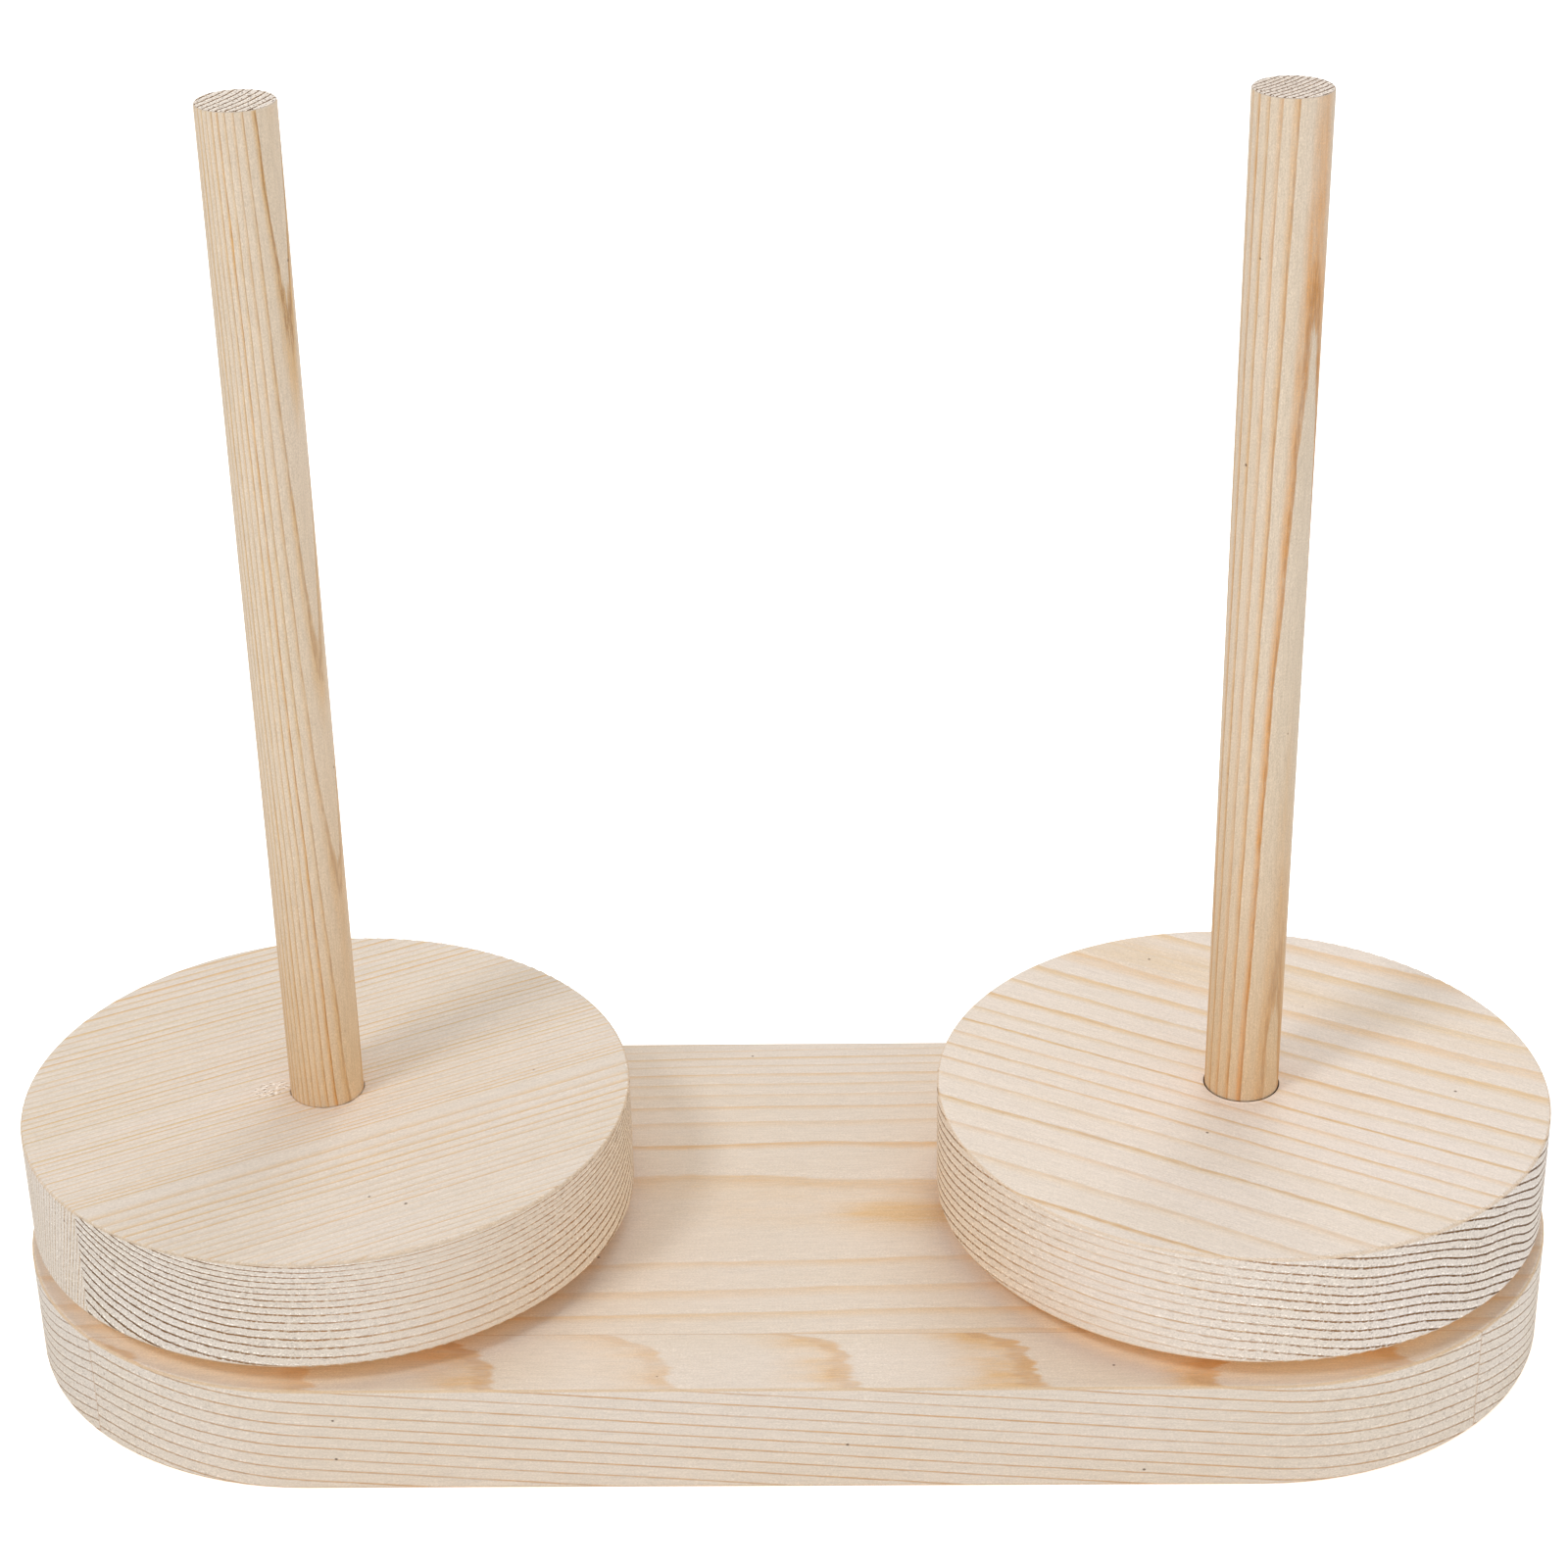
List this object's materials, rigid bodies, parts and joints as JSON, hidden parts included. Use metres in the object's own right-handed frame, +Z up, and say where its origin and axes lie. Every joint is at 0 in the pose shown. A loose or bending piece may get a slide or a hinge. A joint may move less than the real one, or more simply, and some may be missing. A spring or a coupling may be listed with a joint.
{
  "type": "yarn holder",
  "caption": "Wooden yarn holder: a rounded base board with free-spinning turntables side by side, each with an upright dowel for a ball, cake or cone of yarn.",
  "frame": {"origin": "middle of the base board's underside", "axes": "+Z up along the spindles, +X along the base board's length, +Y to the back"},
  "size_m": [0.303, 0.122, 0.251],
  "materials": {
    "base_wood": "bare sanded pine, straight grain along its length",
    "turntable_wood": "bare sanded pine, fine growth rings",
    "spindle_wood": "bare turned pine",
    "zinc_steel": "bright zinc plate",
    "bearing_steel": "ground bearing steel",
    "shield_steel": "rolled steel sheet",
    "ball_steel": "polished",
    "cage_steel": "pressed steel",
    "nylon": "translucent nylon"
  },
  "bodies": {
    "base": {"base_board": "base_wood", "left_axle_bolt": "zinc_steel", "left_head_washer": "zinc_steel", "left_gap_washer": "zinc_steel", "left_spacer_sleeve": "zinc_steel", "left_inner_race": "bearing_steel", "left_top_washer": "zinc_steel", "left_lock_nut": "zinc_steel", "left_nut_insert": "nylon", "right_axle_bolt": "zinc_steel", "right_head_washer": "zinc_steel", "right_gap_washer": "zinc_steel", "right_spacer_sleeve": "zinc_steel", "right_inner_race": "bearing_steel", "right_top_washer": "zinc_steel", "right_lock_nut": "zinc_steel", "right_nut_insert": "nylon"},
    "left_spinner": {"left_turntable": "turntable_wood", "left_outer_race": "bearing_steel", "left_bearing_shields": "shield_steel"},
    "left_ball_train": {"left_bearing_balls": "ball_steel", "left_bearing_cage": "cage_steel"},
    "left_lift_out_dowel": {"left_spindle": "spindle_wood"},
    "right_spinner": {"right_turntable": "turntable_wood", "right_outer_race": "bearing_steel", "right_bearing_shields": "shield_steel"},
    "right_ball_train": {"right_bearing_balls": "ball_steel", "right_bearing_cage": "cage_steel"},
    "right_lift_out_dowel": {"right_spindle": "spindle_wood"}
  },
  "joints": [
    {"name": "left_turntable_spin", "type": "hinge", "parent": "base", "child": "left_spinner", "pos_m": [-0.0905, 0, 0.0275], "axis": [0, 0, 1], "continuous": true},
    {"name": "left_balls_roll", "type": "hinge", "parent": "base", "child": "left_ball_train", "pos_m": [-0.0905, 0, 0.03], "axis": [0, 0, 1], "continuous": true},
    {"name": "left_spindle_lift", "type": "slide", "parent": "left_spinner", "child": "left_lift_out_dowel", "axis": [0, 0, 1], "range_m": [0, 0.015]},
    {"name": "right_turntable_spin", "type": "hinge", "parent": "base", "child": "right_spinner", "pos_m": [0.0905, 0, 0.0275], "axis": [0, 0, 1], "continuous": true},
    {"name": "right_balls_roll", "type": "hinge", "parent": "base", "child": "right_ball_train", "pos_m": [0.0905, 0, 0.03], "axis": [0, 0, 1], "continuous": true},
    {"name": "right_spindle_lift", "type": "slide", "parent": "right_spinner", "child": "right_lift_out_dowel", "axis": [0, 0, 1], "range_m": [0, 0.015]}
  ],
  "couplings": [
    {"joint": "left_balls_roll", "follows": "left_turntable_spin", "ratio": 0.63333},
    {"joint": "right_balls_roll", "follows": "right_turntable_spin", "ratio": 0.63333}
  ]
}
